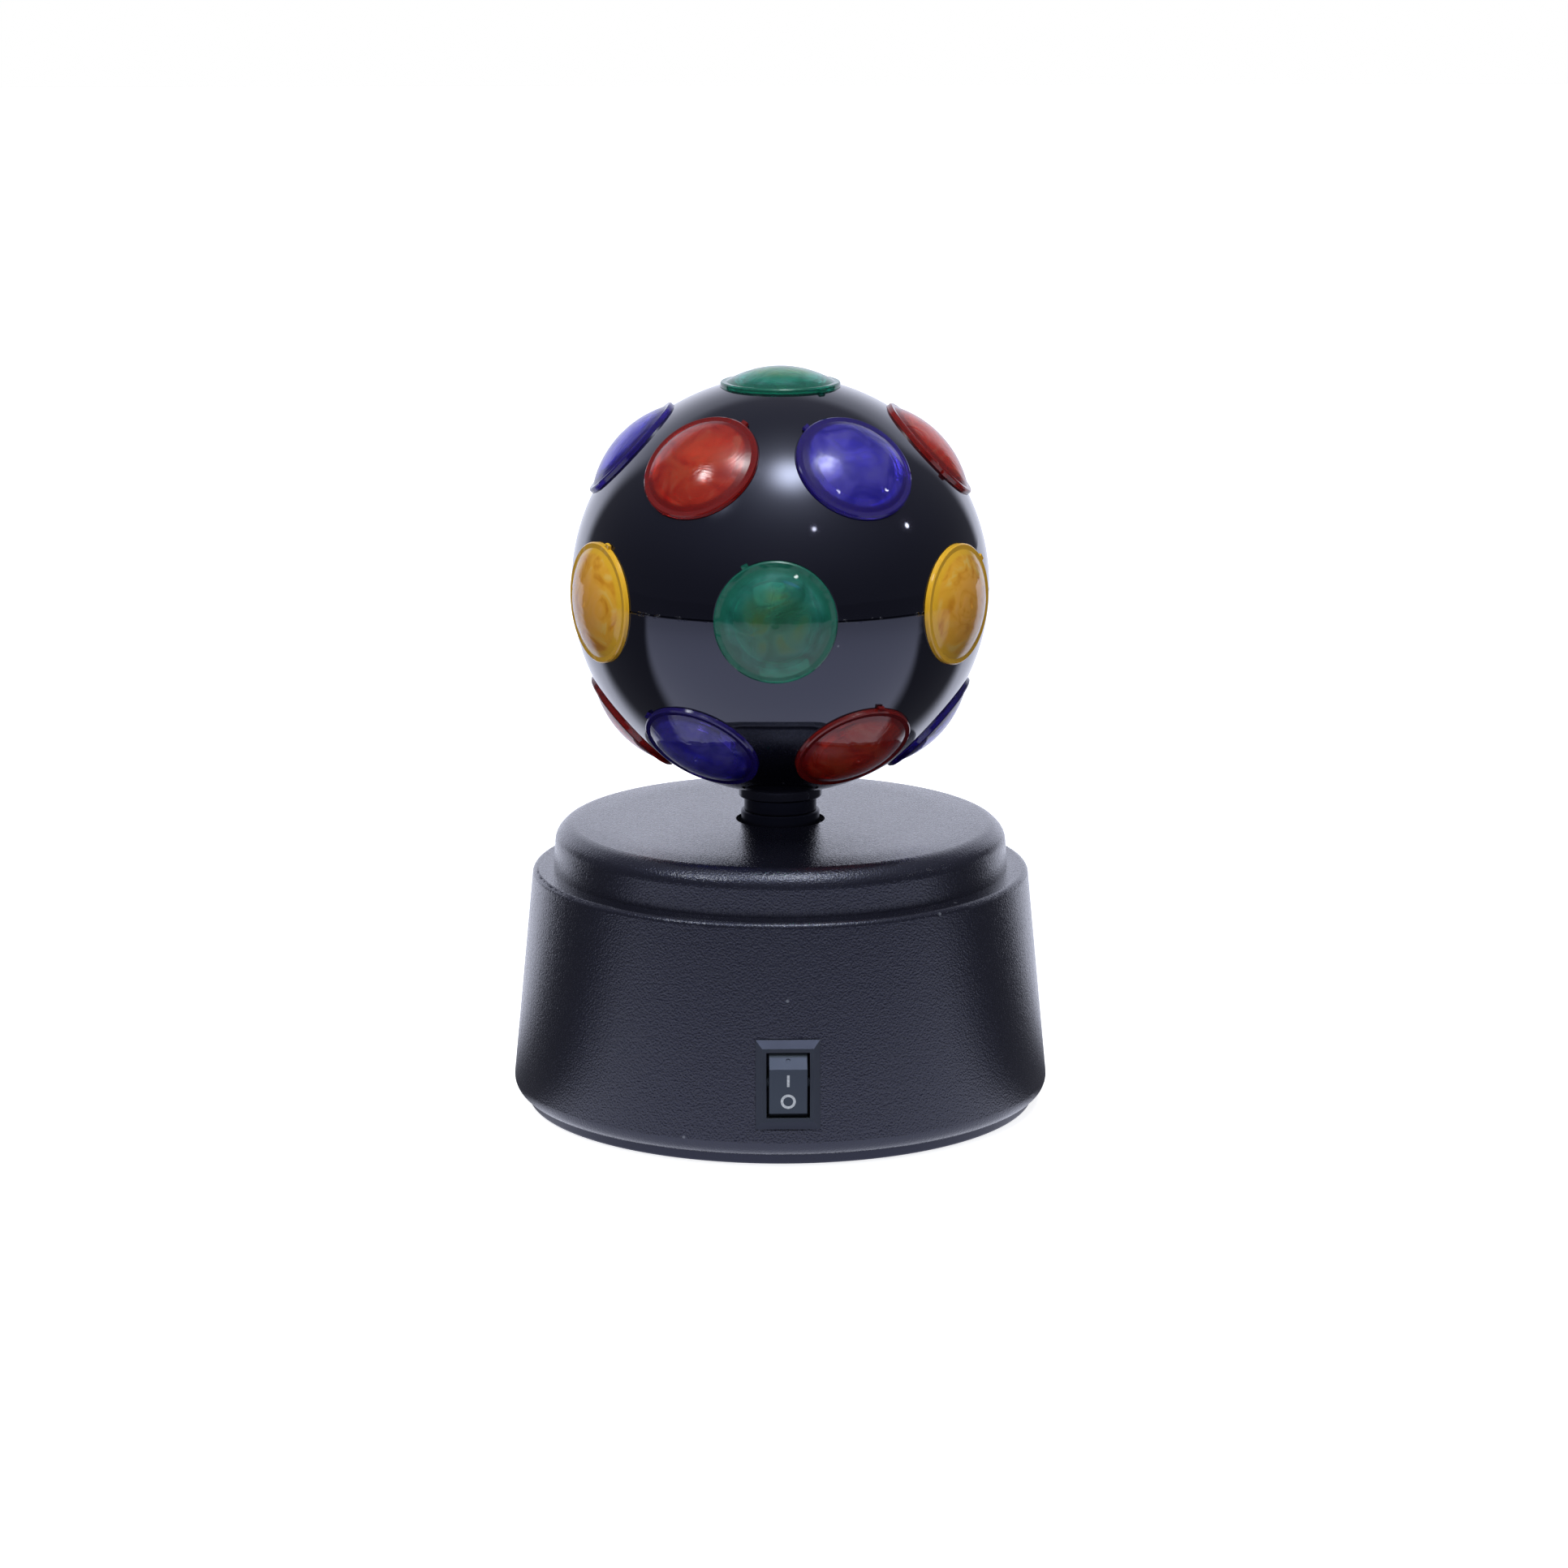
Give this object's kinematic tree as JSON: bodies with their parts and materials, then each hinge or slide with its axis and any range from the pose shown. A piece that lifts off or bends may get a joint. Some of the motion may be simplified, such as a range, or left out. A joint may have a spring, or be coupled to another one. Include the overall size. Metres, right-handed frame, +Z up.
{
  "type": "mini disco ball lamp",
  "caption": "Table disco lamp: a ball with coloured domed lenses turns on a neck above a round tapered base with a rocker switch and a battery door underneath.",
  "frame": {"origin": "on the surface that the rubber feet stand on, under the ball's axis of rotation; the rocker switch stands 1.9 mm proud at the front, so the box's centre lies 0.9 mm in front of the axis", "axes": "+Z up along the ball's axis of rotation, -Y to the front where the rocker switch is, +X to the right seen from the front"},
  "size_m": [0.1296, 0.1313, 0.1794],
  "materials": {
    "grained_black": "spark-grained moulded plastic, semi-matt",
    "gloss_black": "polished moulded plastic, high gloss",
    "neck_black": "smooth moulded plastic",
    "plate_black": "smooth moulded plastic, matt",
    "green_lens": "clear tinted acrylic, polished",
    "red_lens": "clear tinted acrylic, polished",
    "blue_lens": "clear tinted acrylic, polished",
    "yellow_lens": "clear tinted acrylic, polished",
    "switch_black": "smooth nylon, satin",
    "rocker_black": "smooth nylon, satin, white I and O marks",
    "foot_rubber": "soft rubber, matt",
    "screw_steel": "zinc-plated steel",
    "post_steel": "drawn steel tube",
    "motor_steel": "pressed steel can",
    "contact_steel": "nickel-plated spring strip",
    "white_nylon": "moulded nylon",
    "socket_black": "moulded thermoset",
    "brass": "plain brass",
    "bulb_glass": "clear blown glass",
    "filament_wire": "drawn wire",
    "cell_sleeve": "plain dark sleeve on a metal cell"
  },
  "bodies": {
    "base": {"base_body": "grained_black", "top_cap": "grained_black", "bottom_plate": "plate_black", "rubber_feet": "foot_rubber", "base_screws": "screw_steel", "cap_screws": "screw_steel", "drive_plate_screws": "screw_steel", "gearbox_screws": "screw_steel", "neck_bush": "neck_black", "drive_plate": "plate_black", "gearbox_case": "white_nylon", "motor_can": "motor_steel", "lamp_post": "post_steel", "lamp_socket": "socket_black", "bulb_base": "brass", "bulb_glass": "bulb_glass", "bulb_filament": "filament_wire", "aa_cells": "cell_sleeve", "battery_contacts": "contact_steel", "switch_housing": "switch_black", "switch_terminals": "brass"},
    "ball": {"ball_upper_shell": "gloss_black", "ball_lower_shell": "gloss_black", "ball_neck": "neck_black", "neck_nut": "white_nylon", "neck_clip": "screw_steel", "ball_gear": "white_nylon", "lens_top": "green_lens", "lens_upper_1": "red_lens", "lens_upper_2": "blue_lens", "lens_upper_3": "red_lens", "lens_upper_4": "blue_lens", "lens_upper_5": "red_lens", "lens_upper_6": "blue_lens", "lens_middle_1": "green_lens", "lens_middle_2": "yellow_lens", "lens_middle_3": "green_lens", "lens_middle_4": "yellow_lens", "lens_middle_5": "green_lens", "lens_middle_6": "yellow_lens", "lens_lower_1": "blue_lens", "lens_lower_2": "red_lens", "lens_lower_3": "blue_lens", "lens_lower_4": "red_lens", "lens_lower_5": "blue_lens", "lens_lower_6": "red_lens"},
    "pinion": {"drive_pinion": "white_nylon", "output_shaft": "post_steel"},
    "rocker": {"switch_rocker": "rocker_black"},
    "door": {"battery_door": "plate_black"}
  },
  "joints": [
    {"name": "ball_spin", "type": "hinge", "parent": "base", "child": "ball", "pos_m": [0, 0, 0.12675], "axis": [0, 0, 1], "continuous": true},
    {"name": "pinion_spin", "type": "hinge", "parent": "base", "child": "pinion", "pos_m": [0, 0.02085, 0.0566], "axis": [0, 0, 1], "continuous": true},
    {"name": "switch_rock", "type": "hinge", "parent": "base", "child": "rocker", "pos_m": [0, -0.06045, 0.02036], "axis": [-1, 0, 0], "range_deg": [0, 26]},
    {"name": "door_hinge", "type": "hinge", "parent": "base", "child": "door", "pos_m": [0, -0.0194, 0.0019], "axis": [-1, 0, 0], "range_deg": [0, 80]}
  ],
  "couplings": [
    {"joint": "pinion_spin", "follows": "ball_spin", "ratio": -2.25}
  ]
}
